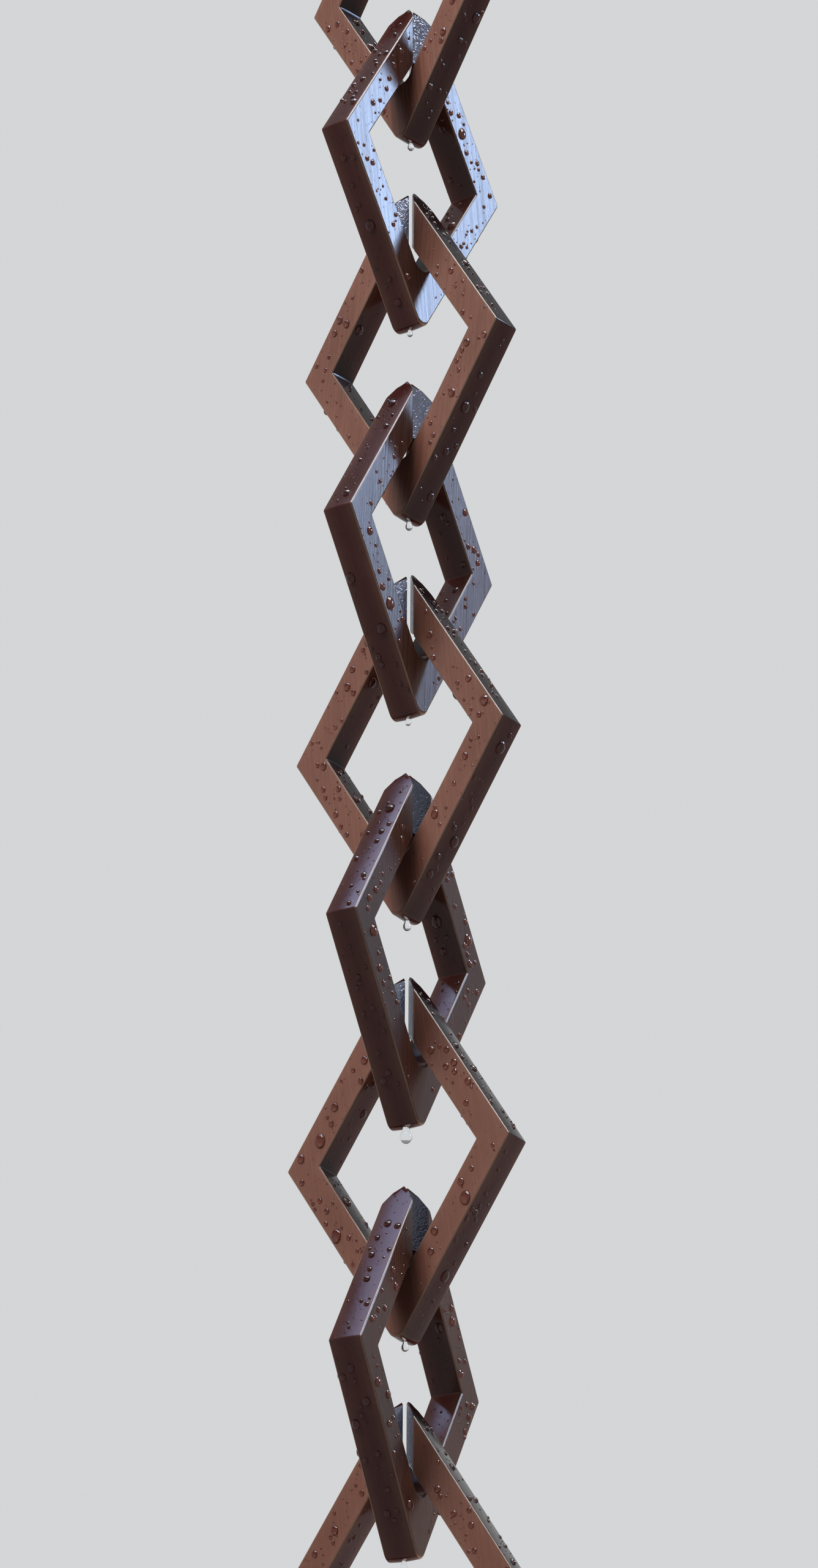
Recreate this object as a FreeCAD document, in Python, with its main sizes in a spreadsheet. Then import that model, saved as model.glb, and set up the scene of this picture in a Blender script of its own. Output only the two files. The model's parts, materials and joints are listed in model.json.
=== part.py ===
"""Rain chain: diamond links sawn from a hollow extrusion, each hung in the one above.

The origin is the hook seat, the inside of the top link's upper corner. +Z is up, the chain
hangs down from the origin, and the X axis lies in the plane of the top link.
"""
import FreeCAD, Part
import enum
import math
import os
import Sketcher

LINK_COUNT = 9

# Driving dimensions: millimetres, and degrees for the two angles
SIZES = (
    ("link_width", 64.0, "across the two blunt corners"),
    ("link_height", 100.5, "between the sharp points of the two narrow corners"),
    ("wall", 8.2, "thickness of a bar, seen on the sawn face"),
    ("slice_depth", 9.0, "length of extrusion sawn off for one link"),
    ("outer_corner_radius", 2.5, "rounding of the narrow corners, outside"),
    ("inner_corner_radius", 4.0, "rounding of the narrow corners, inside"),
    ("edge_break", 0.35, "bevel along the sawn edges"),
    ("cut_gap", 1.0, "opening between the two chisel ends at the top corner"),
    ("cut_flare", 42.0, "slope of each chisel face, from the middle of the slice outwards"),
    ("twist", 2.0, "turn of each link past square to the link above"),
    ("seat_gap", 0.3, "clearance between the crossed edges of two links"),
)

# The section's geometry, as expressions on the driving dimensions
HALF_ANGLE = "atan(sizes.link_width / sizes.link_height)"
INNER_HALF_HEIGHT = f"(sizes.link_height / 2 - sizes.wall / sin({HALF_ANGLE}))"
CORNER_FILL = f"(sizes.inner_corner_radius * (1 / sin({HALF_ANGLE}) - 1))"
HOOK_SEAT = f"({INNER_HALF_HEIGHT} - {CORNER_FILL})"

# Two crossed V corners meet on the edges of their bars. From apex to apex they stand the depth
# of a slice apart, measured up the slope, less what the bevelled edges give way, plus the gap.
EDGE_SPAN = f"sqrt(1 + cos({HALF_ANGLE})^2)"
SHARP_CROSSING = f"(sizes.slice_depth * (1 + abs(sin(sizes.twist))) / (cos(sizes.twist) * tan({HALF_ANGLE})))"
EDGE_RELIEF = f"(2 * sizes.edge_break / tan({HALF_ANGLE}))"
SEAT_LIFT = f"(sizes.seat_gap * {EDGE_SPAN} / sin({HALF_ANGLE}))"
CROSSING = f"({SHARP_CROSSING} - {EDGE_RELIEF} + {SEAT_LIFT})"
LINK_PITCH = f"(2 * {INNER_HALF_HEIGHT} - {CROSSING})"

# The cut reaches a little past both sawn faces
CUT_REACH = "(1.2 * sizes.slice_depth)"
CUT_MOUTH = f"(sizes.cut_gap + {CUT_REACH} * tan(sizes.cut_flare))"

LOCATION_TOLERANCE = 1e-4


class SketchPart(enum.IntEnum):
    """Numbers by which a sketch calls its own axes and the two ends of a line."""

    VERTICAL_AXIS = -2
    HORIZONTAL_AXIS = -1
    START = 1
    END = 2


START = SketchPart.START
END = SketchPart.END
ORIGIN_POINT = (SketchPart.HORIZONTAL_AXIS, START)


def make_sheet(doc):
    """Put every driving dimension in its own named cell."""
    sheet = doc.addObject("Spreadsheet::Sheet", "sizes")
    for row, (name, value, meaning) in enumerate(SIZES, start=1):
        sheet.set(f"A{row}", meaning)
        sheet.set(f"B{row}", str(value))
        sheet.setAlias(f"B{row}", name)
    doc.recompute()
    return sheet


def attach(sketch, body, role):
    """Lay a sketch on one of its body's own origin planes."""
    plane = next(item for item in body.Origin.OriginFeatures if item.Role == role)
    sketch.AttachmentSupport = [(plane, "")]
    sketch.MapMode = "FlatFace"


def add_loop(sketch, corners):
    """Draw a closed loop of lines through the corners and return the lines' numbers."""
    lines = []
    for start, end in zip(corners, corners[1:] + corners[:1]):
        lines.append(sketch.addGeometry(Part.LineSegment(start, end), False))
    for line, following in zip(lines, lines[1:] + lines[:1]):
        sketch.addConstraint(Sketcher.Constraint("Coincident", line, END, following, START))
    return lines


def bind(sketch, constraint, name, expression):
    """Add a dimension to a sketch and drive it from the sheet."""
    index = sketch.addConstraint(constraint)
    sketch.renameConstraint(index, name)
    sketch.setExpression(f"Constraints.{name}", expression)


def add_diamond(sketch, half_width, half_height):
    """Draw a diamond about the origin: right, top, left and bottom corner in turn."""
    corners = [
        FreeCAD.Vector(half_width, 0, 0),
        FreeCAD.Vector(0, half_height, 0),
        FreeCAD.Vector(-half_width, 0, 0),
        FreeCAD.Vector(0, -half_height, 0),
    ]
    right, top, left, bottom = lines = add_loop(sketch, corners)
    sketch.addConstraint(Sketcher.Constraint("PointOnObject", right, START, SketchPart.HORIZONTAL_AXIS))
    sketch.addConstraint(Sketcher.Constraint("PointOnObject", top, START, SketchPart.VERTICAL_AXIS))
    sketch.addConstraint(Sketcher.Constraint("Symmetric", right, START, left, START, *ORIGIN_POINT))
    sketch.addConstraint(Sketcher.Constraint("Symmetric", top, START, bottom, START, *ORIGIN_POINT))
    return lines


def add_section(body, sheet):
    """Sketch the extrusion's section: two diamonds with the wall between them."""
    sketch = body.newObject("Sketcher::SketchObject", "Section")
    attach(sketch, body, "XZ_Plane")
    half_width = sheet.link_width / 2
    half_height = sheet.link_height / 2
    half_angle = math.atan(half_width / half_height)
    outer = add_diamond(sketch, half_width, half_height)
    inner = add_diamond(
        sketch,
        half_width - sheet.wall / math.cos(half_angle),
        half_height - sheet.wall / math.sin(half_angle),
    )
    across = Sketcher.Constraint("DistanceX", outer[2], START, outer[0], START, sheet.link_width)
    upright = Sketcher.Constraint("DistanceY", outer[3], START, outer[1], START, sheet.link_height)
    thickness = Sketcher.Constraint("Distance", inner[0], START, outer[0], sheet.wall)
    bind(sketch, across, "link_width", "sizes.link_width")
    bind(sketch, upright, "link_height", "sizes.link_height")
    sketch.addConstraint(Sketcher.Constraint("Parallel", inner[0], outer[0]))
    bind(sketch, thickness, "wall", "sizes.wall")
    return sketch


def dress_edges(body, kind, name, base, edge_test, size):
    """Round or bevel the edges of the body's last feature that pass a test."""
    body.Document.recompute()
    edges = [f"Edge{i}" for i, edge in enumerate(base.Shape.Edges, start=1) if edge_test(edge)]
    feature = body.newObject(f"PartDesign::{kind}", name)
    feature.Base = (base, edges)
    feature.setExpression("Radius" if kind == "Fillet" else "Size", size)
    return feature


def runs_through(edge):
    """Tell whether an edge is straight and runs from one sawn face to the other."""
    ends = [vertex.Point for vertex in edge.Vertexes]
    return len(ends) == 2 and abs(ends[0].y - ends[1].y) > LOCATION_TOLERANCE


def narrow_corner(half_height):
    """Return a test for the through edges of the top and bottom corners at this height."""
    def test(edge):
        centre = edge.CenterOfMass
        on_axis = abs(centre.x) < LOCATION_TOLERANCE
        return runs_through(edge) and on_axis and abs(abs(centre.z) - half_height) < LOCATION_TOLERANCE
    return test


def sawn_outline(half_width, half_depth):
    """Return a test for the outlines of both sawn faces and the two outer blunt corners."""
    def test(edge):
        centre = edge.CenterOfMass
        on_face = abs(abs(centre.y) - half_depth) < LOCATION_TOLERANCE and not runs_through(edge)
        blunt_corner = runs_through(edge) and abs(abs(centre.x) - half_width) < LOCATION_TOLERANCE
        return on_face or blunt_corner
    return test


def add_cut(body, sheet):
    """Part the top corner, upwards from the window: an hourglass plan leaves two chisel ends."""
    sketch = body.newObject("Sketcher::SketchObject", "CutPlan")
    attach(sketch, body, "XY_Plane")
    reach = 1.2 * sheet.slice_depth
    mouth = sheet.cut_gap + reach * math.tan(math.radians(sheet.cut_flare))
    front_right = FreeCAD.Vector(mouth / 2, -reach / 2, 0)
    back_right = FreeCAD.Vector(mouth / 2, reach / 2, 0)
    waist = FreeCAD.Vector(sheet.cut_gap / 2, 0, 0)
    lines = add_loop(sketch, [front_right, waist, back_right, -front_right, -waist, -back_right])
    to_waist, from_waist, back, to_left_waist, from_left_waist, front = lines
    sketch.addConstraint(Sketcher.Constraint("Symmetric", to_waist, START, to_left_waist, START, *ORIGIN_POINT))
    sketch.addConstraint(Sketcher.Constraint("Symmetric", back, START, front, START, *ORIGIN_POINT))
    sketch.addConstraint(Sketcher.Constraint("Symmetric", from_waist, START, from_left_waist, START, *ORIGIN_POINT))
    sketch.addConstraint(Sketcher.Constraint("PointOnObject", from_waist, START, SketchPart.HORIZONTAL_AXIS))
    sketch.addConstraint(Sketcher.Constraint("Horizontal", front))
    sketch.addConstraint(Sketcher.Constraint("Vertical", to_waist, START, back, START))
    through = Sketcher.Constraint("DistanceY", to_waist, START, back, START, reach)
    opening = Sketcher.Constraint("DistanceX", from_left_waist, START, from_waist, START, sheet.cut_gap)
    flared = Sketcher.Constraint("DistanceX", front, START, to_waist, START, mouth)
    bind(sketch, through, "cut_reach", CUT_REACH)
    bind(sketch, opening, "cut_gap", "sizes.cut_gap")
    bind(sketch, flared, "cut_mouth", CUT_MOUTH)
    cut = body.newObject("PartDesign::Pocket", "Cut")
    cut.Profile = sketch
    cut.Type = "ThroughAll"
    cut.Reversed = True
    return cut


def make_link(doc, sheet, number):
    """Make one link; every second one stands across its neighbours."""
    crosswise = number % 2 == 0
    half_width = sheet.link_width / 2
    half_height = sheet.link_height / 2
    inner_half_height = half_height - sheet.wall / math.sin(math.atan(half_width / half_height))

    body = doc.addObject("PartDesign::Body", f"Link{number}")
    body.Label = f"link_{number}"
    section = add_section(body, sheet)
    slice_pad = body.newObject("PartDesign::Pad", "Slice")
    slice_pad.Profile = section
    slice_pad.SideType = "Symmetric"
    slice_pad.setExpression("Length", "sizes.slice_depth")
    at_tips = narrow_corner(half_height)
    at_seats = narrow_corner(inner_half_height)
    on_outline = sawn_outline(half_width, sheet.slice_depth / 2)
    tips = dress_edges(body, "Fillet", "Tips", slice_pad, at_tips, "sizes.outer_corner_radius")
    seats = dress_edges(body, "Fillet", "Seats", tips, at_seats, "sizes.inner_corner_radius")
    bevelled = dress_edges(body, "Chamfer", "EdgeBreak", seats, on_outline, "sizes.edge_break")
    doc.recompute()
    whole_volume = bevelled.Shape.Volume
    cut = add_cut(body, sheet)
    body.Tip = cut

    steps_down = number - 1
    quarter_turn = 90 if crosswise else 0
    body.Placement.Rotation.Axis = FreeCAD.Vector(0, 0, 1)
    body.setExpression("Placement.Base.z", f"-({HOOK_SEAT} + {steps_down} * {LINK_PITCH})")
    body.setExpression("Placement.Rotation.Angle", f"{quarter_turn} + {steps_down} * sizes.twist")
    doc.recompute()
    if body.Shape.Volume >= whole_volume:
        raise RuntimeError(f"{body.Label}: the top corner is not cut")
    return body


def check_document(doc, links):
    """Stop if any object failed or any link is not one valid solid."""
    for item in doc.Objects:
        if "Invalid" in item.State or "Error" in item.State:
            raise RuntimeError(f"{item.Label} did not build: {item.State}")
    for link in links:
        if link.Shape.isNull() or not link.Shape.isValid() or len(link.Shape.Solids) != 1:
            raise RuntimeError(f"{link.Label} is not one valid solid")


def main():
    doc = FreeCAD.newDocument("RainChain")
    sheet = make_sheet(doc)
    links = [make_link(doc, sheet, number) for number in range(1, LINK_COUNT + 1)]
    doc.recompute()
    check_document(doc, links)
    os.makedirs("parts", exist_ok=True)
    for link in links:
        link.Shape.exportStep(f"parts/{link.Label}.step")
        print(f"{link.Label}: {link.Shape.Volume:.1f} mm3, centre at z {link.Placement.Base.z:.3f}")


main()
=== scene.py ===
"""Dress the rain chain: rounded and coated links, rain beads, hanging drops and a plain stage."""
import json
import math
from typing import NamedTuple

import bpy
import numpy as np
from mathutils import Matrix, Vector


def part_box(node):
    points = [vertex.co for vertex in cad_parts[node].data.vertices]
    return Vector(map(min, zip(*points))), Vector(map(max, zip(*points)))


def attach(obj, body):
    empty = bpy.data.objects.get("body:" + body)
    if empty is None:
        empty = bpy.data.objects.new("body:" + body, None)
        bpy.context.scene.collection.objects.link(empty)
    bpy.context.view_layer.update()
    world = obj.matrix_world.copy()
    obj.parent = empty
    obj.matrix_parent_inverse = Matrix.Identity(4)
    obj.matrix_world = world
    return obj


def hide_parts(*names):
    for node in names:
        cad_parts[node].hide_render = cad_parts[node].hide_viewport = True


bl_info = {
    "name": "Rain Chain",
    "version": (1, 0, 0),
    "blender": (4, 5, 0),
    "location": "View3D > Sidebar > Rain Chain",
    "description": "Dresses a hanging chain of sawn diamond links with a wet brown coat",
    "category": "Object",
}

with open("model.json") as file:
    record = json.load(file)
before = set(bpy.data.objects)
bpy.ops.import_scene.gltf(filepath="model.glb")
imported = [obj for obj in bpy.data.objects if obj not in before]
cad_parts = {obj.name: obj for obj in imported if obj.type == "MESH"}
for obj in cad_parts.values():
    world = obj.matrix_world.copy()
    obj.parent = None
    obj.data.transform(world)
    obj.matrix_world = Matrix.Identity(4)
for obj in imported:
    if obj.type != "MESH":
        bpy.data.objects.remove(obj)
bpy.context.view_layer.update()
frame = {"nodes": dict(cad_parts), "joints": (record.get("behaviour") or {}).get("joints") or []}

LINKS = [f"link_{number}" for number in range(1, len(frame["nodes"]) + 1)]
HINGES = {joint["child"]: joint for joint in frame["joints"]}
SLICE_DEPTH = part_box(LINKS[0])[1].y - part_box(LINKS[0])[0].y

# The photograph's frame and the camera that was fitted to it
PHOTO_WIDTH_PX = 1336
PHOTO_HEIGHT_PX = 2560
FOCAL_PX = 10048
SENSOR_MM = 36.0


class LinkSizes(bpy.types.PropertyGroup):
    """Sizes of one link, as on the solid, and the finer rounding that its edges get here."""

    width: bpy.props.FloatProperty(
        name="Width", description="Across the two blunt corners", default=0.064, unit="LENGTH")
    height: bpy.props.FloatProperty(
        name="Height", description="Between the sharp points of the narrow corners", default=0.1005,
        unit="LENGTH")
    wall: bpy.props.FloatProperty(
        name="Wall", description="Thickness of a bar on the sawn face", default=0.0082, unit="LENGTH")
    depth: bpy.props.FloatProperty(
        name="Depth", description="Length of extrusion in one link", default=SLICE_DEPTH, unit="LENGTH")
    tip_radius: bpy.props.FloatProperty(
        name="Tip radius", description="Rounding of the narrow corners, outside", default=0.0025,
        unit="LENGTH")
    seat_radius: bpy.props.FloatProperty(
        name="Seat radius", description="Rounding of the narrow corners, inside", default=0.004,
        unit="LENGTH")
    blunt_radius: bpy.props.FloatProperty(
        name="Blunt radius", description="Rounding of the blunt corners", default=0.0005, unit="LENGTH")
    edge_radius: bpy.props.FloatProperty(
        name="Edge radius", description="Rounding of the coated edges", default=0.00048, unit="LENGTH")
    crown: bpy.props.FloatProperty(
        name="Crown", description="How far a drawn face falls away at its edges", default=0.000135,
        unit="LENGTH")
    cut_gap: bpy.props.FloatProperty(
        name="Cut gap", description="Opening between the two chisel ends at the top corner",
        default=0.001, unit="LENGTH")
    cut_flare: bpy.props.FloatProperty(
        name="Cut flare", description="Slope of each chisel face, from the middle of the slice outwards",
        default=math.radians(42), subtype="ANGLE")
    rim_radius: bpy.props.FloatProperty(
        name="Rim radius", description="Rounding of the edges round a chisel face", default=0.00035,
        unit="LENGTH")


class CoatLook(bpy.types.PropertyGroup):
    """Colours and gloss of the wet powder coat."""

    sawn_colour: bpy.props.FloatVectorProperty(
        name="Sawn faces", description="Coat on the flat sawn faces", subtype="COLOR", size=3,
        default=(0.182, 0.076, 0.054))
    drawn_colour: bpy.props.FloatVectorProperty(
        name="Drawn faces", description="Coat on the faces left by the extrusion die", subtype="COLOR",
        size=3, default=(0.045, 0.0105, 0.0085))
    # Paler tan coat along the edges: partly wear, partly a painted highlight where a rounded edge catches the
    # light
    edge_wear_and_highlight: bpy.props.FloatVectorProperty(
        name="Edges", description="Thin coat along the edges", subtype="COLOR", size=3,
        default=(0.40, 0.25, 0.18))
    cut_colour: bpy.props.FloatVectorProperty(
        name="Chisel faces", description="Bare metal of the cut", subtype="COLOR", size=3,
        default=(0.18, 0.19, 0.25))
    dull_cut: bpy.props.FloatProperty(
        name="Dull cut", description="Brightness of a torn chisel face beside a smooth one", default=0.42,
        min=0, max=1)
    sawn_roughness: bpy.props.FloatProperty(
        name="Sawn roughness", description="Roughness of the sawn faces", default=0.27, min=0, max=1)
    drawn_roughness: bpy.props.FloatProperty(
        name="Drawn roughness", description="Roughness of the drawn faces", default=0.16, min=0, max=1)
    saw_line: bpy.props.FloatProperty(
        name="Saw line", description="Depth of the saw lines", default=0.00002, unit="LENGTH")


class RainLook(bpy.types.PropertyGroup):
    """How much rain clings to the chain."""

    beads_on_sawn_face: bpy.props.IntProperty(
        name="Beads on a sawn face", description="Beads offered to each sawn face of a link", default=112,
        min=0)
    beads_on_outer_bar: bpy.props.IntProperty(
        name="Beads on an outer face", description="Beads offered to the outside of each bar", default=26,
        min=0)
    beads_on_inner_bar: bpy.props.IntProperty(
        name="Beads on an inner face", description="Beads offered to the inside of each bar", default=16,
        min=0)
    fine_beads: bpy.props.FloatProperty(
        name="Fine beads", description="Fine beads offered for every bead", default=1.8, min=0)
    bead_radius: bpy.props.FloatProperty(
        name="Bead radius", description="Middle of the range of bead sizes", default=0.00062,
        unit="LENGTH")
    fine_radius: bpy.props.FloatProperty(
        name="Fine radius", description="Middle of the range of fine bead sizes", default=0.0002,
        unit="LENGTH")
    largest_bead: bpy.props.FloatProperty(
        name="Largest bead", description="Radius of the largest beads", default=0.0015, unit="LENGTH")
    # Painted shade and painted reflection: this tint darkens the bead water and browns it as if it showed the
    # coat beneath
    bead_painted_shade_and_brown: bpy.props.FloatVectorProperty(
        name="Bead colour", description="Water on the coat, browned by it", subtype="COLOR", size=3,
        default=(0.46, 0.27, 0.23))
    drop_colour: bpy.props.FloatVectorProperty(
        name="Drop colour", description="Clear water that hangs free", subtype="COLOR", size=3,
        default=(0.97, 0.98, 1.0))


class StageLook(bpy.types.PropertyGroup):
    """Floor, light and camera."""

    backdrop: bpy.props.FloatVectorProperty(
        name="Backdrop", description="Pale colour behind and below the chain", subtype="COLOR", size=3,
        default=(0.66, 0.67, 0.68))
    ceiling: bpy.props.FloatVectorProperty(
        name="Ceiling", description="Dimmer colour high above the chain", subtype="COLOR", size=3,
        default=(0.24, 0.25, 0.26))
    fill: bpy.props.FloatVectorProperty(
        name="Fill", description="Soft light from all round", subtype="COLOR", size=3,
        default=(0.078, 0.082, 0.094))
    floor_height: bpy.props.FloatProperty(
        name="Floor height", description="Level of the floor under the hanging chain", default=-1.9,
        unit="LENGTH")
    azimuth: bpy.props.FloatProperty(
        name="Azimuth", description="Camera's place round the chain", default=math.radians(41.56),
        subtype="ANGLE")
    elevation: bpy.props.FloatProperty(
        name="Elevation", description="Camera's place above the horizon", default=math.radians(-22.264),
        subtype="ANGLE")
    roll: bpy.props.FloatProperty(
        name="Roll", description="Camera's turn about its own axis", default=math.radians(0.27),
        subtype="ANGLE")
    distance: bpy.props.FloatProperty(
        name="Distance", description="From the camera to the chain", default=1.5767, unit="LENGTH")
    aim_height: bpy.props.FloatProperty(
        name="Aim height", description="Height on the chain at the middle of the picture",
        default=-0.26487, unit="LENGTH")
    aim_offset: bpy.props.FloatProperty(
        name="Aim offset", description="How far the camera stands to the right of the chain",
        default=0.000325, unit="LENGTH")


class ChainLook(bpy.types.PropertyGroup):
    """Everything that a user would change, in four groups."""

    link: bpy.props.PointerProperty(name="Link", description="Sizes of one link", type=LinkSizes)
    coat: bpy.props.PointerProperty(name="Coat", description="Colours and gloss of the coat", type=CoatLook)
    rain: bpy.props.PointerProperty(name="Rain", description="Beads and hanging drops", type=RainLook)
    stage: bpy.props.PointerProperty(name="Stage", description="Floor, light and camera", type=StageLook)


class Signal:
    """A shader socket that takes part in Python arithmetic; each operation adds a Math node."""

    def __init__(self, graph, socket):
        self.graph = graph
        self.socket = socket

    def _math(self, operation, first, second):
        return self.graph.node("ShaderNodeMath", {"operation": operation}, {0: first, 1: second})

    def __add__(self, other):
        return self._math("ADD", self, other)

    def __sub__(self, other):
        return self._math("SUBTRACT", self, other)

    def __mul__(self, other):
        return self._math("MULTIPLY", self, other)

    def __truediv__(self, other):
        return self._math("DIVIDE", self, other)

    def __rsub__(self, other):
        return self._math("SUBTRACT", other, self)

    def __rtruediv__(self, other):
        return self._math("DIVIDE", other, self)

    def __gt__(self, other):
        return self._math("GREATER_THAN", self, other)

    __radd__ = __add__
    __rmul__ = __mul__

    def at_least(self, other):
        return self._math("MAXIMUM", self, other)


class ShaderGraph:
    """Builds the nodes of a material or of the world."""

    def __init__(self, owner):
        owner.use_nodes = True
        self.tree = owner.node_tree
        self.tree.nodes.clear()

    def node(self, kind, settings=None, sockets=None, output=0):
        """Add a node, set its settings, then set or link its sockets; return one of its outputs."""
        made = self.tree.nodes.new(kind)
        for name, value in (settings or {}).items():
            setattr(made, name, value)
        for name, value in (sockets or {}).items():
            if isinstance(value, Signal):
                self.tree.links.new(value.socket, made.inputs[name])
            else:
                made.inputs[name].default_value = value
        return Signal(self, made.outputs[output]) if made.outputs else None

    def attribute(self, name, output="Fac"):
        return self.node("ShaderNodeAttribute", {"attribute_name": name}, output=output)

    def stretched(self, vector, scale):
        return self.node("ShaderNodeMapping", {}, {"Vector": vector, "Scale": scale})

    def noise(self, vector, detail=2.0, roughness=0.5):
        sockets = {"Vector": vector, "Scale": 1.0, "Detail": detail, "Roughness": roughness}
        return self.node("ShaderNodeTexNoise", {}, sockets, "Fac")

    def blend(self, share, first, second):
        return self.node("ShaderNodeMix", {"data_type": "RGBA"}, {0: share, 6: first, 7: second}, 2)

    def dim(self, colour, level):
        """Multiply a colour by a grey level."""
        grey = self.node("ShaderNodeCombineColor", {}, {0: level, 1: level, 2: level})
        return self.node(
            "ShaderNodeMix", {"data_type": "RGBA", "blend_type": "MULTIPLY"}, {0: 1.0, 6: colour, 7: grey}, 2)


def opaque(colour):
    return (*colour, 1.0)


# Cells per metre of each pattern: across the saw lines, through the slice and along the lines
FINE_LINES = (3000, 300, 40)
BROAD_LINES = (900, 200, 14)
PATCHES = (70, 70, 40)
PEEL = (750, 750, 750)
GRIT = (1700, 1700, 1700)
MIST = (620, 620, 620)
RIPPLES = (900, 900, 900)

# Depths of the bumps, in metres
PEEL_DEPTH = 0.00001
GRIT_DEPTH = 0.00012
MIST_DEPTH = 0.00005

# Mist specks: smallest size and its spread as shares of a cell, and the share of cells left dry
MIST_SIZE = 0.1
MIST_SPREAD = 0.16
DRY_CELLS = 0.55

# How far the patterns change the coat's colour, its edge wear and painted edge highlight, its roughness and
# its metal
FINE_SHARE = 0.6
STREAKS = 1.1
PATCH_SHADE = 0.5
LEAST_WEAR_AND_HIGHLIGHT = 0.3
PATCH_WEAR_AND_HIGHLIGHT = 0.8
LINE_ROUGHNESS = 0.35
PATCH_ROUGHNESS = 0.25
MIST_ROUGHNESS = 0.06
LEAST_ROUGHNESS = 0.05
RIPPLE_ROUGHNESS = 0.03
BARE_METAL = 0.9

COAT_IOR = 1.28
WATER_IOR = 1.333


def mist_specks(graph, place):
    """Height of fine mist, nought to one: in some cells a speck that falls off with distance squared."""
    cells = graph.stretched(place, MIST)
    distance = graph.node("ShaderNodeTexVoronoi", {}, {"Vector": cells, "Scale": 1.0}, "Distance")
    colour = graph.node("ShaderNodeTexVoronoi", {}, {"Vector": cells, "Scale": 1.0}, "Color")
    size = graph.node("ShaderNodeSeparateColor", {}, {0: colour}, 0)
    pick = graph.node("ShaderNodeSeparateColor", {}, {0: colour}, 1)
    share = distance / (size * MIST_SPREAD + MIST_SIZE)
    return (1.0 - share * share).at_least(0.0) * (pick > DRY_CELLS)


def coat_material(look):
    """Wet powder coat: paler and lined with saw marks on the sawn faces, dark and glossy on the rest."""
    material = bpy.data.materials.new("brown_coat")
    graph = ShaderGraph(material)
    place = graph.attribute("saw_place", "Vector")
    sawn = graph.attribute("sawn")
    edge = graph.attribute("edge")
    cut = graph.attribute("cut")
    cut_tone = graph.attribute("cut_tone")
    sawing = graph.attribute("sawing")

    fine_lines = graph.noise(graph.stretched(place, FINE_LINES), detail=2.0, roughness=0.6)
    broad_lines = graph.noise(graph.stretched(place, BROAD_LINES), detail=2.0, roughness=0.5)
    lines = fine_lines * FINE_SHARE + broad_lines * (1 - FINE_SHARE)
    patches = graph.noise(graph.stretched(place, PATCHES), detail=3.0, roughness=0.55)
    peel = graph.noise(graph.stretched(place, PEEL), detail=1.0, roughness=0.4)
    grit = graph.noise(graph.stretched(place, GRIT), detail=2.0, roughness=0.6)
    mist = mist_specks(graph, place)

    face_colour = graph.blend(sawn, opaque(look.drawn_colour), opaque(look.sawn_colour))
    streaked = graph.dim(face_colour, 1.0 + sawn * sawing * (lines - 0.5) * STREAKS)
    weathered = graph.dim(streaked, patches * PATCH_SHADE + (1 - PATCH_SHADE / 2))
    # Paler coat along the edges: partly wear, partly a painted highlight
    worn_and_highlit = graph.blend(edge * (patches * PATCH_WEAR_AND_HIGHLIGHT + LEAST_WEAR_AND_HIGHLIGHT), weathered, opaque(look.edge_wear_and_highlight))
    colour = graph.blend(cut, worn_and_highlit, graph.dim(opaque(look.cut_colour), cut_tone))

    sawn_roughness = sawing * (lines - 0.5) * LINE_ROUGHNESS + look.sawn_roughness
    drawn_roughness = (patches - 0.5) * PATCH_ROUGHNESS + look.drawn_roughness
    dry = sawn_roughness * sawn + drawn_roughness * (1.0 - sawn)
    roughness = (dry * (1.0 - mist) + mist * MIST_ROUGHNESS).at_least(LEAST_ROUGHNESS)

    height = sawn * sawing * lines * look.saw_line + (1.0 - sawn) * peel * PEEL_DEPTH
    height = height + cut * grit * GRIT_DEPTH + mist * MIST_DEPTH
    bump = graph.node("ShaderNodeBump", {}, {"Strength": 1.0, "Distance": 1.0, "Height": height})
    surface = graph.node("ShaderNodeBsdfPrincipled", {}, {
        "Base Color": colour, "Roughness": roughness, "IOR": COAT_IOR, "Metallic": cut * BARE_METAL,
        "Normal": bump})
    graph.node("ShaderNodeOutputMaterial", {}, {"Surface": surface})
    return material


def water_material(name, colour):
    """Rain water: clear in a hanging drop; in a bead, tinted dark and brown, a painted shade and a painted
    reflection of the coat that it lies on.
    """
    material = bpy.data.materials.new(name)
    graph = ShaderGraph(material)
    place = graph.node("ShaderNodeTexCoord", output="Object")
    ripple = graph.noise(graph.stretched(place, RIPPLES), detail=1.0, roughness=0.5)
    surface = graph.node("ShaderNodeBsdfPrincipled", {}, {
        "Base Color": opaque(colour), "Roughness": ripple * RIPPLE_ROUGHNESS, "IOR": WATER_IOR,
        "Transmission Weight": 1.0})
    graph.node("ShaderNodeOutputMaterial", {}, {"Surface": surface})
    return material


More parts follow.
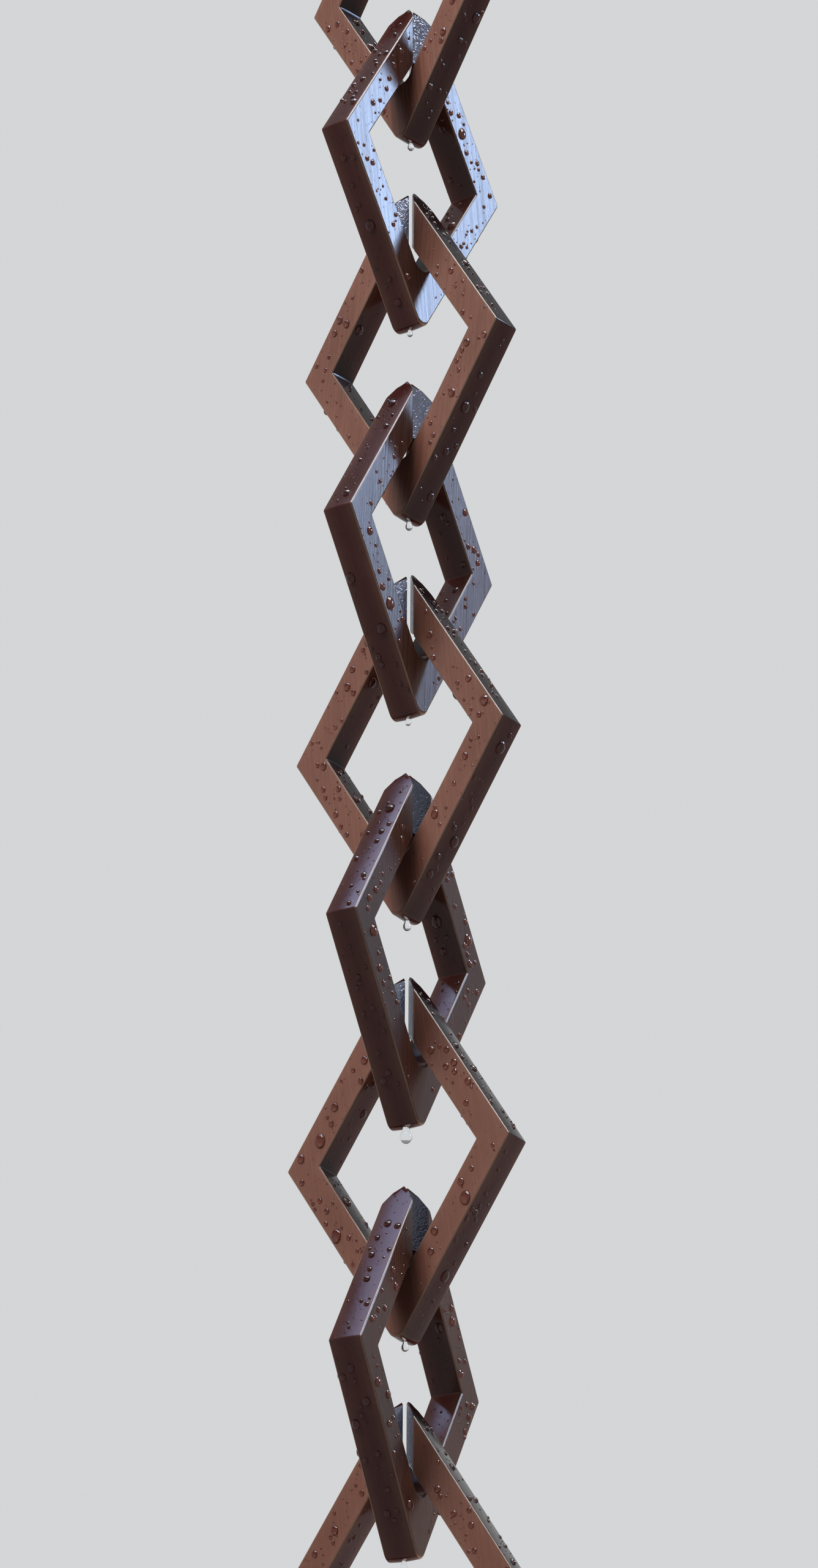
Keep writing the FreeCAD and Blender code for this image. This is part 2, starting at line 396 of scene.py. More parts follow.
class Diamond:
    """The section of the extrusion: sides, corners and insets of the diamond."""

    def __init__(self, sizes):
        self.sizes = sizes
        self.half_width = sizes.width / 2
        self.half_height = sizes.height / 2
        self.half_angle = math.atan(sizes.width / sizes.height)
        self.sine = math.sin(self.half_angle)
        self.cosine = math.cos(self.half_angle)
        self.half_depth = sizes.depth / 2

    def reach(self, inset):
        """Half width of the diamond that lies a distance inside the outline."""
        return self.half_width - inset / self.cosine

    def rise(self, inset):
        """Half height of the diamond that lies a distance inside the outline."""
        return self.half_height - inset / self.sine

    def fall(self, depth):
        """How far a drawn face lies inside the outline at a depth: it grows with the depth's square."""
        return self.sizes.crown * (depth / self.half_depth) ** 2

    def corner_radius(self, inset):
        """Radius of the narrow corners, which goes evenly from the tip's to the seat's."""
        share = inset / self.sizes.wall
        return self.sizes.tip_radius + (self.sizes.seat_radius - self.sizes.tip_radius) * share

    def top(self, across, inset):
        """Height of the upper outline above a place across: two slopes joined by an arc."""
        radius = self.corner_radius(inset)
        slope = self.rise(inset) - np.abs(across) * self.cosine / self.sine
        arc_centre = self.rise(inset) - radius / self.sine
        arc = arc_centre + np.sqrt(np.maximum(radius ** 2 - across ** 2, 0.0))
        return np.where(np.abs(across) < radius * self.cosine, arc, slope)

    def top_heading(self, across, inset):
        """Direction of the outward normal on the upper outline, as an angle from across."""
        radius = self.corner_radius(inset)
        on_arc = np.arccos(np.clip(across / radius, -1.0, 1.0))
        on_slope = np.where(across > 0, self.half_angle, math.pi - self.half_angle)
        return np.where(np.abs(across) < radius * self.cosine, on_arc, on_slope)


# Round a bar's section: points on an edge's arc, distances of those beside it in metres, and their paler edge
# coat, partly wear and partly a painted highlight
CORNER_STEPS = 6
EDGE_BANDS = (0.0004, 0.0019)
EDGE_WEAR_AND_HIGHLIGHT = (0.10, 0.03)

# Rows along a bar: close ones from the cut to TOP_END from the middle, then the rest of the way down
TOP_STEPS = 27
TOP_END = 0.013
ARM_STEPS = 7
BLUNT_STEPS = 5
LOWER_STEPS = 9
TIP_STEPS = 15


def bar_profile(diamond):
    """Walk once round a bar's section: flat sawn faces, crowned drawn faces and rounded edges.

    The walk starts outside at mid depth, goes over the front to the inside and over the back to
    its start. A drawn face falls away with the square of the depth. One quarter of the walk is
    worked out, and the other three are its reflections in the middle of the wall and of the depth.
    Returns the inset from the outline, the depth, the normal's angle out of the link's plane
    and the share of paler edge coat, partly thinned by rubbing and partly a painted highlight,
    each as an array over the walk.
    """
    sizes = diamond.sizes
    radius = sizes.edge_radius
    lean = 2 * sizes.crown / diamond.half_depth
    arc_depth = diamond.half_depth - radius
    face_end = arc_depth + radius * math.sin(lean)
    arc_inset = diamond.fall(face_end) + radius * math.cos(lean)
    bands, beside_arc_tint = np.array(EDGE_BANDS), np.array(EDGE_WEAR_AND_HIGHLIGHT)
    on_face = bands[::-1] - face_end
    angle = np.linspace(-lean, -math.pi / 2, CORNER_STEPS)

    inset = np.concatenate([diamond.fall(on_face), arc_inset - radius * np.cos(angle), arc_inset + bands])
    depth = np.concatenate([
        on_face, radius * np.sin(angle) - arc_depth, np.full(len(bands), -diamond.half_depth)])
    turn = np.concatenate([lean * on_face / diamond.half_depth, angle, np.full(len(bands), -math.pi / 2)])
    # Paler edge coat, highest mid-arc: partly wear, partly a painted highlight along the edge
    rubbed_and_highlit = beside_arc_tint[0] + (1 - beside_arc_tint[0]) * np.sin(np.linspace(0.0, math.pi, CORNER_STEPS)) ** 2
    worn_and_highlit = np.concatenate([beside_arc_tint[::-1], rubbed_and_highlit, beside_arc_tint])

    inset = np.concatenate([inset, sizes.wall - inset[::-1]])
    depth = np.concatenate([depth, depth[::-1]])
    turn = np.concatenate([turn, -math.pi - turn[::-1]])
    worn_and_highlit = np.concatenate([worn_and_highlit, worn_and_highlit[::-1]])
    return (
        np.concatenate([inset, [sizes.wall], inset[::-1], [0.0]]),
        np.concatenate([depth, [0.0], -depth[::-1], [0.0]]),
        np.concatenate([turn, [-math.pi], -2 * math.pi - turn[::-1], [-2 * math.pi]]),
        np.concatenate([worn_and_highlit, [0.0], worn_and_highlit[::-1], [0.0]]),
    )


def arc_points(centre_across, centre_up, radius, angles):
    """Points of an arc and the headings of its outward normals, path by profile."""
    across = centre_across[None, :] + radius * np.cos(angles)[:, None]
    up = centre_up[None, :] + radius * np.sin(angles)[:, None]
    return across, up, np.repeat(angles[:, None], across.shape[1], axis=1)


def straight_points(start, end, heading, steps):
    """Points between two places, ends left out, with one heading all the way."""
    share = np.linspace(0.0, 1.0, steps + 2)[1:-1, None]
    across = start[0][None, :] * (1 - share) + end[0][None, :] * share
    up = start[1][None, :] * (1 - share) + end[1][None, :] * share
    return across, up, np.full_like(across, heading)


def chisel_place(sizes, depth):
    """How far a chisel face stands from the link's middle at a depth: least at mid depth."""
    return sizes.cut_gap / 2 + np.abs(depth) * math.tan(sizes.cut_flare)


def link_path(diamond, inset, depth, turn):
    """Carry the bar's section round the diamond from one chisel end to the other.

    Each point of the section keeps its depth and runs along its own inset diamond: down the
    right side from the cut, round the blunt corner and the bottom tip, and up the left side.
    The first and last rows are drawn in by the rim's radius, which rounds the chisel's edges.
    Returns across, depth, up and the normal's heading, each as an array of path by section.
    """
    sizes = diamond.sizes
    alpha = diamond.half_angle
    rim = sizes.rim_radius
    rim_inset = inset + rim * np.cos(turn)
    rim_depth = depth - rim * np.sin(turn)
    rim_across = chisel_place(sizes, rim_depth)
    share = np.linspace(0.0, 1.0, TOP_STEPS)[:, None]
    start = chisel_place(sizes, depth) + rim

    across = start[None, :] * (1 - share) + TOP_END * share
    right = (across, diamond.top(across, inset), diamond.top_heading(across, inset))
    right_rim = tuple(row[None, :] for row in (
        rim_across, diamond.top(rim_across, rim_inset), diamond.top_heading(rim_across, rim_inset)))
    blunt_centre = diamond.reach(inset) - sizes.blunt_radius / diamond.cosine
    level = np.zeros_like(inset)
    blunt = arc_points(blunt_centre, level, sizes.blunt_radius, np.linspace(alpha, -alpha, BLUNT_STEPS))
    radius = diamond.corner_radius(inset)
    tip_centre = -(diamond.rise(inset) - radius / diamond.sine)
    tip = arc_points(level, tip_centre, radius, np.linspace(-alpha, alpha - math.pi, TIP_STEPS))

    def ends(stretch, row):
        return stretch[0][row], stretch[1][row]

    def mirrored(stretch):
        return -stretch[0][::-1], stretch[1][::-1], math.pi - stretch[2][::-1]

    down_right = (
        right_rim,
        right,
        straight_points(ends(right, -1), ends(blunt, 0), alpha, ARM_STEPS),
        blunt,
        straight_points(ends(blunt, -1), ends(tip, 0), -alpha, LOWER_STEPS),
    )
    stretches = (*down_right, tip, *(mirrored(stretch) for stretch in reversed(down_right)))
    across, up, heading = (np.concatenate([stretch[part] for stretch in stretches]) for part in range(3))
    depths = np.repeat(depth[None, :], len(across), axis=0)
    depths[0] = rim_depth
    depths[-1] = rim_depth
    return across, depths, up, heading


def link_yaw(name):
    """Turn of a link about the chain's axis, read from the hinge that it swings on."""
    if name not in HINGES:
        return 0.0
    axis = HINGES[name]["axis"]
    return math.atan2(-axis[0], axis[1])


def link_matrix(name):
    """From a link's own axes (across, depth, up) to the frame."""
    low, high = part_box(name)
    lift = Matrix.Translation((0, 0, (low.z + high.z) / 2))
    return np.array(lift @ Matrix.Rotation(link_yaw(name), 4, "Z"))


def to_frame(matrix, points):
    """Turn points by a matrix and then shift them."""
    return points @ matrix[:3, :3].T + matrix[:3, 3]


def new_object(name, points, faces):
    """Make a mesh object from points and faces, and put it in the scene."""
    mesh = bpy.data.meshes.new(name)
    mesh.from_pydata(points.tolist(), [], faces)
    mesh.validate()
    piece = bpy.data.objects.new(name, mesh)
    bpy.context.scene.collection.objects.link(piece)
    return piece


def shade_smooth(mesh):
    mesh.polygons.foreach_set("use_smooth", np.ones(len(mesh.polygons), dtype=bool))


def add_attribute(mesh, name, kind, domain, values):
    attribute = mesh.attributes.new(name, kind, domain)
    field = "vector" if kind == "FLOAT_VECTOR" else "value"
    attribute.data.foreach_set(field, np.ascontiguousarray(values, dtype=np.float32).ravel())


def tube_faces(rows, columns):
    """Quads of a grid that closes on itself across its columns."""
    row, column = np.meshgrid(np.arange(rows - 1), np.arange(columns), indexing="ij")
    following = (column + 1) % columns
    return np.stack([
        row * columns + column,
        row * columns + following,
        (row + 1) * columns + following,
        (row + 1) * columns + column,
    ], axis=-1).reshape(-1, 4)


# How far the normals round a chisel face lean to it, and how sharply the sawn faces' paler coat ends
RIM_LEAN = 1.5
SAWN_SHARPNESS = 8

# The saw lines' slant differs from link to link, and so does the place in the pattern
SAW_SEED = 100
SAW_SLANT_DEG = 9.0
PATTERN_STEP = (0.17, 0.05, 0.31)


def chisel_faces(rows, columns, flare):
    """The four chisel faces, front and back at each end of the sweep: their corners and normals."""
    half = columns // 2
    front = np.array([columns - 1, *range(half)])
    back = np.arange(half - 1, columns)
    last = (rows - 1) * columns
    along, out = math.cos(flare), math.sin(flare)
    return (
        (front[::-1], (-along, -out, 0.0)),
        (back[::-1], (-along, out, 0.0)),
        (last + front, (along, -out, 0.0)),
        (last + back, (along, out, 0.0)),
    )


def swept_normals(heading, depth, turn, flare):
    """Normals of the sweep: each points along its heading, turned out of the link's plane by its turn.

    In the first and last rows they lean to the chisel faces.
    """
    normals = np.stack([
        np.cos(turn) * np.cos(heading),
        np.broadcast_to(np.sin(turn), heading.shape),
        np.cos(turn) * np.sin(heading),
    ], axis=-1)
    along = np.full(len(depth), math.cos(flare))
    out = np.sign(depth) * math.sin(flare)
    level = np.zeros(len(depth))
    normals[0] += np.stack([-along, out, level], axis=-1) * RIM_LEAN
    normals[-1] += np.stack([along, out, level], axis=-1) * RIM_LEAN
    return normals / np.linalg.norm(normals, axis=-1)[..., None]


def make_link(name, index, sizes, cut_tone, sawing, material):
    """Sweep a bar's section round one link, and give its faces what the coat's pattern reads."""
    diamond = Diamond(sizes)
    inset, depth, turn, worn_and_highlit = bar_profile(diamond)
    across, depths, up, heading = link_path(diamond, inset, depth, turn)
    local = np.stack([across, depths, up], axis=-1).reshape(-1, 3)
    matrix = link_matrix(name)
    quads = tube_faces(*across.shape)
    chisels = chisel_faces(*across.shape, sizes.cut_flare)
    faces = quads.tolist() + [corners.tolist() for corners, _ in chisels]
    piece = new_object(f"{name}_coated", to_frame(matrix, local), faces)
    mesh = piece.data
    shade_smooth(mesh)
    swept = swept_normals(heading, depth, turn, sizes.cut_flare).reshape(-1, 3)[quads.ravel()]
    flat = [np.tile(facing, (len(corners), 1)) for corners, facing in chisels]
    mesh.normals_split_custom_set((np.concatenate([swept, *flat]) @ matrix[:3, :3].T).tolist())

    rng = np.random.default_rng(SAW_SEED + index)
    slant = math.tan(math.radians(rng.uniform(-SAW_SLANT_DEG, SAW_SLANT_DEG)))
    place = local + np.array(PATTERN_STEP) * index
    place[:, 0] += local[:, 2] * slant
    face_numbers = np.arange(len(faces))
    add_attribute(mesh, "saw_place", "FLOAT_VECTOR", "POINT", place)
    sawn = np.abs(np.sin(turn)) ** SAWN_SHARPNESS
    add_attribute(mesh, "sawn", "FLOAT", "POINT", np.broadcast_to(sawn, across.shape))
    add_attribute(mesh, "edge", "FLOAT", "POINT", np.broadcast_to(worn_and_highlit, across.shape))
    add_attribute(mesh, "cut", "FLOAT", "FACE", face_numbers >= len(quads))
    add_attribute(mesh, "cut_tone", "FLOAT", "FACE", np.full(len(faces), cut_tone))
    add_attribute(mesh, "sawing", "FLOAT", "FACE", np.full(len(faces), sawing))
    mesh.materials.append(material)
    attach(piece, name)
    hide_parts(name)


# Links whose chisel faces were torn rather than cut clean, and how plainly each link shows its sawing
TORN_CUTS = ("link_6", "link_8")
SAW_MARKS = {"link_1": 1.0, "link_2": 1.1, "link_3": 0.7, "link_4": 1.7, "link_5": 0.3}
FAINT_SAW_MARKS = 0.2

# How deep a bead is set into the coat, and how clear it stays of the seats and the cut, in metres
BEAD_SINK = 0.00006
SEAT_CLEARANCE = 0.0105
CUT_CLEARANCE = 0.0012

# Stretch of a bar that takes beads, and room kept from a blunt corner and from other beads, in radii
BAR_STRETCH = (0.03, 0.97)
BLUNT_ROOM = 1.6
BEAD_ROOM = 1.12
BARS = 4

# Sag of the smallest beads and how much more the largest have, and the range of heights of a crown
LEAST_SAG = 0.08
MORE_SAG = 0.24
STRETCH_RANGE = (0.2, 1.0)
CROWN_RANGE = (0.76, 0.98)
CROWN_LOSS = 0.2

BEAD_SEED = 500
DOWN = np.array([0.0, 0.0, -1.0])


class BeadKind(NamedTuple):
    """A class of beads: facets of its dome, spread of its sizes, and its smallest and largest radius."""

    sides: int
    rings: int
    spread: float
    smallest: float
    largest: float


BEAD_KINDS = (
    BeadKind(sides=12, rings=3, spread=0.45, smallest=0.0003, largest=0.0015),
    BeadKind(sides=8, rings=2, spread=0.3, smallest=0.00012, largest=0.0003),
)


def bead_form(sides, rings):
    """A half sphere of radius one on a flat base: its points, and its quads, crown and base.

    A ring's radius is the cosine of its climb from the base, and its height the sine.
    """
    climb = np.arange(rings + 1) / (rings + 1) * math.pi / 2
    around = np.arange(sides) / sides * 2 * math.pi
    across = np.cos(climb)[:, None] * np.cos(around)
    along = np.cos(climb)[:, None] * np.sin(around)
    height = np.repeat(np.sin(climb)[:, None], sides, axis=1)
    points = np.concatenate([np.stack([across, along, height], axis=-1).reshape(-1, 3), [[0.0, 0.0, 1.0]]])
    last_ring = rings * sides + np.arange(sides)
    crown = np.full(sides, len(points) - 1)
    fan = np.stack([last_ring, np.roll(last_ring, -1), crown], axis=-1)
    base = np.arange(sides)[None, ::-1]
    return points, (tube_faces(rings + 1, sides), fan, base)


def face_spots(diamond, face, side, upward, radii, rng):
    """Spread beads of given radii over one face of one bar: places, normals and which may stay.

    Along a bar a place is a share of the way from the blunt corner to the narrow one; across it,
    a share of the room that the bead's radius leaves. None stays at a seat, the cut or a corner.
    """
    sizes = diamond.sizes
    count = len(radii)
    room = sizes.edge_radius + radii
    along = rng.uniform(*BAR_STRETCH, count)
    across = rng.uniform(-1.0, 1.0, count)
    drawn = face in ("outer", "inner")
    if drawn:
        depth = across * (diamond.half_depth - room)
        inset = diamond.fall(depth) if face == "outer" else sizes.wall - diamond.fall(depth)
        out = 1.0 if face == "outer" else -1.0
        normal = np.array([out * side * diamond.cosine, 0.0, out * upward * diamond.sine])
    else:
        toward = -1.0 if face == "front" else 1.0
        depth = np.full(count, toward * diamond.half_depth)
        inset = sizes.wall / 2 + across * (sizes.wall / 2 - room)
        normal = np.array([0.0, toward, 0.0])
    reach = diamond.reach(inset) * (1 - along)
    rise = diamond.rise(inset) * along
    places = np.stack([side * reach, depth, upward * rise], axis=-1)

    seat_rise = diamond.rise(sizes.wall) - diamond.half_depth * diamond.cosine / diamond.sine
    off_seat = np.sqrt(reach ** 2 + depth ** 2 + (rise - seat_rise) ** 2) > SEAT_CLEARANCE
    off_cut = reach > chisel_place(sizes, depth) + CUT_CLEARANCE + radii if upward > 0 else True
    off_tip = reach > sizes.seat_radius + radii
    off_blunt = reach < diamond.reach(inset) - BLUNT_ROOM * radii if drawn else True
    return places, np.tile(normal, (count, 1)), off_seat & off_cut & off_tip & off_blunt


def bead_spots(diamond, rain, rng):
    """Choose where beads sit: their places and normals in the link's own axes, radii and kinds.

    Radii spread about their kind's middle by a normal curve on a log scale. A bead that meets
    one drawn before it goes.
    """
    middles = (rain.bead_radius, rain.fine_radius)
    on_sawn_bar = rain.beads_on_sawn_face // BARS
    offered = {"front": on_sawn_bar, "back": on_sawn_bar,
               "outer": rain.beads_on_outer_bar, "inner": rain.beads_on_inner_bar}
    found = []
    for number, kind in enumerate(BEAD_KINDS):
        for face, beads in offered.items():
            count = beads if number == 0 else round(beads * rain.fine_beads)
            for side in (-1, 1):
                for upward in (-1, 1):
                    radii = middles[number] * np.exp(rng.normal(0.0, kind.spread, count))
                    radii = np.clip(radii, kind.smallest, min(kind.largest, rain.largest_bead))
                    places, normals, stays = face_spots(diamond, face, side, upward, radii, rng)
                    kinds = np.full(count, number)
                    found.append([part[stays] for part in (places, normals, radii, kinds)])
    places, normals, radii, kinds = (np.concatenate(part) for part in zip(*found))
    distance = np.linalg.norm(places[:, None, :] - places[None, :, :], axis=-1)
    meets = distance < BEAD_ROOM * (radii[:, None] + radii[None, :])
    alone = ~np.tril(meets, -1).any(axis=1)
    return places[alone], normals[alone], radii[alone], kinds[alone]


def place_beads(form, places, normals, radii, rng):
    """Set a sagging copy of the bead on every spot: it widens, and its crown slides, downhill."""
    downhill = DOWN - (normals @ DOWN)[:, None] * normals
    steep = np.linalg.norm(downhill, axis=1)
    downhill /= steep[:, None]
    sideways = np.cross(normals, downhill)
    size = np.clip(radii / BEAD_KINDS[0].largest, 0.0, 1.0)
    sag = steep * (LEAST_SAG + MORE_SAG * size)
    stretch = 1.0 + sag * rng.uniform(*STRETCH_RANGE, len(radii))
    crown = rng.uniform(*CROWN_RANGE, len(radii)) - CROWN_LOSS * size
    along = form[None, :, 0] * stretch[:, None] + form[None, :, 2] * sag[:, None]
    across = np.broadcast_to(form[None, :, 1], along.shape)
    height = form[None, :, 2] * crown[:, None]
    points = places[:, None, :] - normals[:, None, :] * BEAD_SINK
    return points + radii[:, None, None] * (
        along[..., None] * downhill[:, None, :]
        + across[..., None] * sideways[:, None, :]
        + height[..., None] * normals[:, None, :]
    )


def make_beads(name, index, look, material):
    """Scatter rain beads over one link."""
    diamond = Diamond(look.link)
    rng = np.random.default_rng(BEAD_SEED + index)
    places, normals, radii, kinds = bead_spots(diamond, look.rain, rng)
    points, faces = [], []
    start = 0
    for number, kind in enumerate(BEAD_KINDS):
        form, form_faces = bead_form(kind.sides, kind.rings)
        chosen = kinds == number
        domes = place_beads(form, places[chosen], normals[chosen], radii[chosen], rng)
        offsets = start + np.arange(len(domes))[:, None, None] * len(form)
        for group in form_faces:
            faces += (group[None] + offsets).reshape(-1, group.shape[1]).tolist()
        points.append(domes.reshape(-1, 3))
        start += len(points[-1])
    piece = new_object(f"{name}_rain_beads", to_frame(link_matrix(name), np.concatenate(points)), faces)
    shade_smooth(piece.data)
    piece.data.materials.append(material)
    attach(piece, name)


# A hanging drop, as shares of its belly's radius
NECK_RADIUS = 0.55
NECK_SINK = 0.10
BELLY_DEPTH = 1.45
DROP_LENGTH = 2.48

# Rings and sides of a drop's mesh
NECK_STEPS = 6
BELLY_STEPS = 5
DROP_SIDES = 16

# Radius of the belly of the drop under each link, in metres
DROPS = {"link_1": 0.0009, "link_2": 0.0008, "link_3": 0.0010, "link_4": 0.0008, "link_5": 0.0011,
         "link_6": 0.0016, "link_7": 0.0010, "link_8": 0.0009, "link_9": 0.0012}


def drop_profile():
    """Radii and depths of a drop's rings from its neck down, for a belly of radius one.

    The neck starts inside the tip and widens to the belly by half a cosine wave. Below the
    belly the radius and the depth go by the cosine and the sine of an angle, a half ellipse.
    """
    widening = np.linspace(0.0, 1.0, NECK_STEPS)
    closing = np.linspace(0.0, math.pi / 2, BELLY_STEPS + 1)[1:-1]
    neck = NECK_RADIUS + (1 - NECK_RADIUS) * (1 - np.cos(math.pi * widening)) / 2
    neck_depth = (BELLY_DEPTH + NECK_SINK) * widening - NECK_SINK
    belly_depth = BELLY_DEPTH + (DROP_LENGTH - BELLY_DEPTH) * np.sin(closing)
    return np.stack([
        np.concatenate([neck, np.cos(closing)]),
        np.concatenate([neck_depth, belly_depth]),
    ], axis=-1)


def make_drop(name, radius, material):
    """Hang a drop from a link's bottom tip: its profile turned about the chain's axis."""
    profile = drop_profile() * radius
    around = -np.arange(DROP_SIDES) / DROP_SIDES * 2 * math.pi
    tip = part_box(name)[0].z
    rings = np.stack([
        profile[:, :1] * np.cos(around),
        profile[:, :1] * np.sin(around),
        np.repeat(tip - profile[:, 1:], DROP_SIDES, axis=1),
    ], axis=-1)
    end = np.array([[0.0, 0.0, tip - DROP_LENGTH * radius]])
    quads = tube_faces(len(profile), DROP_SIDES)
    top = list(range(DROP_SIDES))[::-1]
    last = (len(profile) - 1) * DROP_SIDES
    point = len(profile) * DROP_SIDES
    bottom = [(last + side, last + (side + 1) % DROP_SIDES, point) for side in range(DROP_SIDES)]
    piece = new_object(f"{name}_hanging_drop", np.concatenate([rings.reshape(-1, 3), end]),
                       quads.tolist() + [top] + bottom)
    shade_smooth(piece.data)
    piece.data.materials.append(material)
    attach(piece, name)


# The floor's half width in metres, its glow where it is seen, and that glow's share beside its matt look
FLOOR_REACH = 60.0
FLOOR_GLOW = 1.1
GLOW_SHARE = 0.85

# Heights, as sines of the angle above the horizon, between which the backdrop dims to the ceiling
CEILING_EDGE = (0.50, 0.60)

# How far the camera sees, in metres
VIEW_END = 100.0


class Lamp(NamedTuple):
    """A panel lamp: its direction as the camera sees it (right, away, up), its panel and what it lights."""

    direction: tuple
    distance: float
    size: tuple
    power: float
    colour: tuple
    on_coat: bool = True
    in_gloss: bool = True


# Two lamps light the coat's colour, and three show only in its gloss
LAMPS = {
    "key": Lamp((-0.63, -0.45, 0.63), 2.4, (1.6, 1.6), 67.0, (1.0, 0.97, 0.94), in_gloss=False),
    "ground": Lamp((0.18, 0.52, -0.835), 1.2, (1.2, 1.2), 21.0, (1.0, 0.95, 0.85), in_gloss=False),
    "sky_left": Lamp((-0.24, 0.0, 0.97), 2.0, (0.95, 1.0), 17.0, (0.52, 0.62, 1.0), on_coat=False),
    "sky_right": Lamp((0.866, 0.085, 0.493), 2.4, (0.6, 0.6), 54.0, (0.48, 0.66, 1.0), on_coat=False),
    "sky_top": Lamp((0.25, -0.31, 0.92), 2.0, (1.6, 1.6), 160.0, (0.90, 0.95, 1.0), on_coat=False),
}


def camera_axes(stage):
    """The camera's right, its level direction, its view and its up, in the frame."""
    azimuth, pitch = stage.azimuth, -stage.elevation
    right = Vector((math.cos(azimuth), math.sin(azimuth), 0.0))
    level = Vector((-math.sin(azimuth), math.cos(azimuth), 0.0))
    view = level * math.cos(pitch) + Vector((0, 0, math.sin(pitch)))
    up = right.cross(view)
    return right, level, view, up


def make_camera(stage):
    """Put the camera where the photograph was taken from, with the photograph's angle of view."""
    right, _, view, up = camera_axes(stage)
    turn = stage.roll
    rolled_right = right * math.cos(turn) + up * math.sin(turn)
    rolled_up = up * math.cos(turn) - right * math.sin(turn)
    aim = Vector((0, 0, stage.aim_height)) + right * stage.aim_offset
    data = bpy.data.cameras.new("photo_camera")
    data.sensor_fit = "AUTO"
    data.sensor_width = SENSOR_MM
    data.lens = FOCAL_PX / max(PHOTO_WIDTH_PX, PHOTO_HEIGHT_PX) * SENSOR_MM
    data.clip_end = VIEW_END
    camera = bpy.data.objects.new("photo_camera", data)
    axes = Matrix((rolled_right, rolled_up, -view)).transposed().to_4x4()
    camera.matrix_world = Matrix.Translation(aim - view * stage.distance) @ axes
    bpy.context.scene.collection.objects.link(camera)
    bpy.context.scene.camera = camera


def make_lamp(name, stage):
    """Hang one soft panel lamp, turned to the middle of the chain, with its width in line with the view."""
    lamp = LAMPS[name]
    right, level, _, _ = camera_axes(stage)
    direction = right * lamp.direction[0] + level * lamp.direction[1] + Vector((0, 0, lamp.direction[2]))
    outward = direction.normalized()
    side = (level - outward * level.dot(outward)).normalized()
    data = bpy.data.lights.new(name, "AREA")
    data.shape = "RECTANGLE"
    data.size, data.size_y = lamp.size
    data.energy = lamp.power
    data.color = lamp.colour
    panel = bpy.data.objects.new(name, data)
    axes = Matrix((side, outward.cross(side), outward)).transposed().to_4x4()
    panel.matrix_world = Matrix.Translation(Vector((0, 0, stage.aim_height)) + outward * lamp.distance) @ axes
    panel.visible_camera = False
    panel.visible_diffuse = lamp.on_coat
    panel.visible_transmission = lamp.on_coat
    panel.visible_glossy = lamp.in_gloss
    bpy.context.scene.collection.objects.link(panel)


def seen_directly(graph):
    """One for rays from the camera and those that it sees in gloss or through water, else nought."""
    camera = graph.node("ShaderNodeLightPath", output="Is Camera Ray")
    glossy = graph.node("ShaderNodeLightPath", output="Is Glossy Ray")
    through = graph.node("ShaderNodeLightPath", output="Is Transmission Ray")
    return camera.at_least(glossy).at_least(through)


def make_world(stage):
    """Soft light from all round, which shows as a plain pale backdrop."""
    world = bpy.data.worlds.new("pale_room")
    graph = ShaderGraph(world)
    direction = graph.node("ShaderNodeTexCoord", output="Generated")
    height = graph.node("ShaderNodeSeparateXYZ", {}, {0: direction}, 2)
    low, high = CEILING_EDGE
    share = graph.node(
        "ShaderNodeMapRange", {"interpolation_type": "SMOOTHSTEP"}, {0: height, 1: low, 2: high})
    room = graph.blend(share, opaque(stage.backdrop), opaque(stage.ceiling))
    colour = graph.blend(seen_directly(graph), opaque(stage.fill), room)
    background = graph.node("ShaderNodeBackground", {}, {"Color": colour, "Strength": 1.0})
    graph.node("ShaderNodeOutputWorld", {}, {"Surface": background})
    bpy.context.scene.world = world


def make_floor(stage):
    """A wide pale floor, well below the hanging chain."""
    corners = np.array([(-1, -1, 0), (1, -1, 0), (1, 1, 0), (-1, 1, 0)]) * FLOOR_REACH
    floor = new_object("pale_floor", corners + np.array([0, 0, stage.floor_height]), [(0, 1, 2, 3)])
    material = bpy.data.materials.new("pale_floor")
    graph = ShaderGraph(material)
    matt = graph.node("ShaderNodeBsdfDiffuse", {}, {"Color": opaque(stage.backdrop)})
    glow = graph.node("ShaderNodeEmission", {}, {"Color": opaque(stage.backdrop), "Strength": FLOOR_GLOW})
    share = seen_directly(graph) * GLOW_SHARE
    surface = graph.node("ShaderNodeMixShader", {}, {0: share, 1: matt, 2: glow})
    graph.node("ShaderNodeOutputMaterial", {}, {"Surface": surface})
    floor.data.materials.append(material)


class RAINCHAIN_OT_links(bpy.types.Operator):
    """Make the coated links"""

    bl_idname = "rain_chain.links"
    bl_label = "Coated Links"

    def execute(self, context):
        look = context.scene.rain_chain
        material = coat_material(look.coat)
        for index, name in enumerate(LINKS):
            cut_tone = look.coat.dull_cut if name in TORN_CUTS else 1.0
            sawing = SAW_MARKS.get(name, FAINT_SAW_MARKS)
            make_link(name, index, look.link, cut_tone, sawing, material)
        return {"FINISHED"}


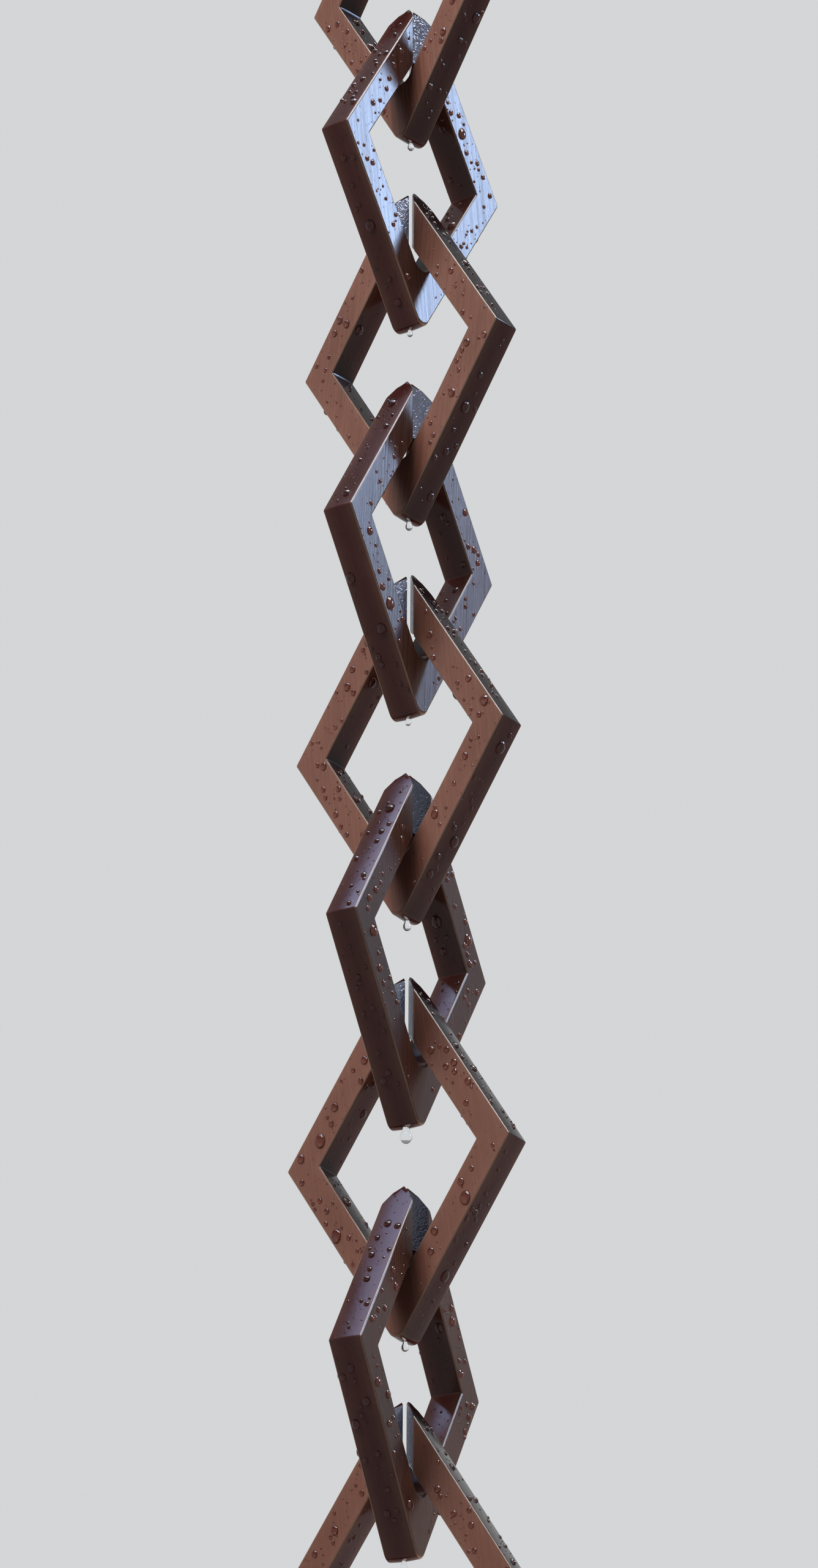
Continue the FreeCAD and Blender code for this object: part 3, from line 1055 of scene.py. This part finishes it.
class RAINCHAIN_OT_beads(bpy.types.Operator):
    """Scatter rain beads over the links"""

    bl_idname = "rain_chain.beads"
    bl_label = "Rain Beads"

    def execute(self, context):
        look = context.scene.rain_chain
        # The beads' water carries a painted tint: painted shade and a painted brown reflection of the coat
        material = water_material("bead_water", look.rain.bead_painted_shade_and_brown)
        for index, name in enumerate(LINKS):
            make_beads(name, index, look, material)
        return {"FINISHED"}


class RAINCHAIN_OT_drops(bpy.types.Operator):
    """Hang a drop under every link"""

    bl_idname = "rain_chain.drops"
    bl_label = "Hanging Drops"

    def execute(self, context):
        material = water_material("drop_water", context.scene.rain_chain.rain.drop_colour)
        for name, radius in DROPS.items():
            make_drop(name, radius, material)
        return {"FINISHED"}


class RAINCHAIN_OT_stage(bpy.types.Operator):
    """Set up the floor, the light and the camera"""

    bl_idname = "rain_chain.stage"
    bl_label = "Stage"

    def execute(self, context):
        stage = context.scene.rain_chain.stage
        context.scene.view_settings.view_transform = "Standard"
        make_floor(stage)
        make_world(stage)
        for name in LAMPS:
            make_lamp(name, stage)
        make_camera(stage)
        return {"FINISHED"}


class RAINCHAIN_PT_panel(bpy.types.Panel):
    """Lists the chain's pieces and the stage"""

    bl_idname = "RAINCHAIN_PT_panel"
    bl_label = "Rain Chain"
    bl_space_type = "VIEW_3D"
    bl_region_type = "UI"
    bl_category = "Rain Chain"

    def draw(self, context):
        for operator in OPERATORS:
            self.layout.operator(operator.bl_idname)


OPERATORS = (RAINCHAIN_OT_links, RAINCHAIN_OT_beads, RAINCHAIN_OT_drops, RAINCHAIN_OT_stage)
CLASSES = (LinkSizes, CoatLook, RainLook, StageLook, ChainLook, *OPERATORS, RAINCHAIN_PT_panel)


def register():
    for item in CLASSES:
        bpy.utils.register_class(item)
    bpy.types.Scene.rain_chain = bpy.props.PointerProperty(
        name="Rain chain", description="Sizes and looks of the rain chain", type=ChainLook)


def unregister():
    del bpy.types.Scene.rain_chain
    for item in reversed(CLASSES):
        bpy.utils.unregister_class(item)


def main():
    register()
    bpy.ops.rain_chain.links()
    bpy.ops.rain_chain.beads()
    bpy.ops.rain_chain.drops()
    bpy.ops.rain_chain.stage()


if __name__ == "__main__":
    main()
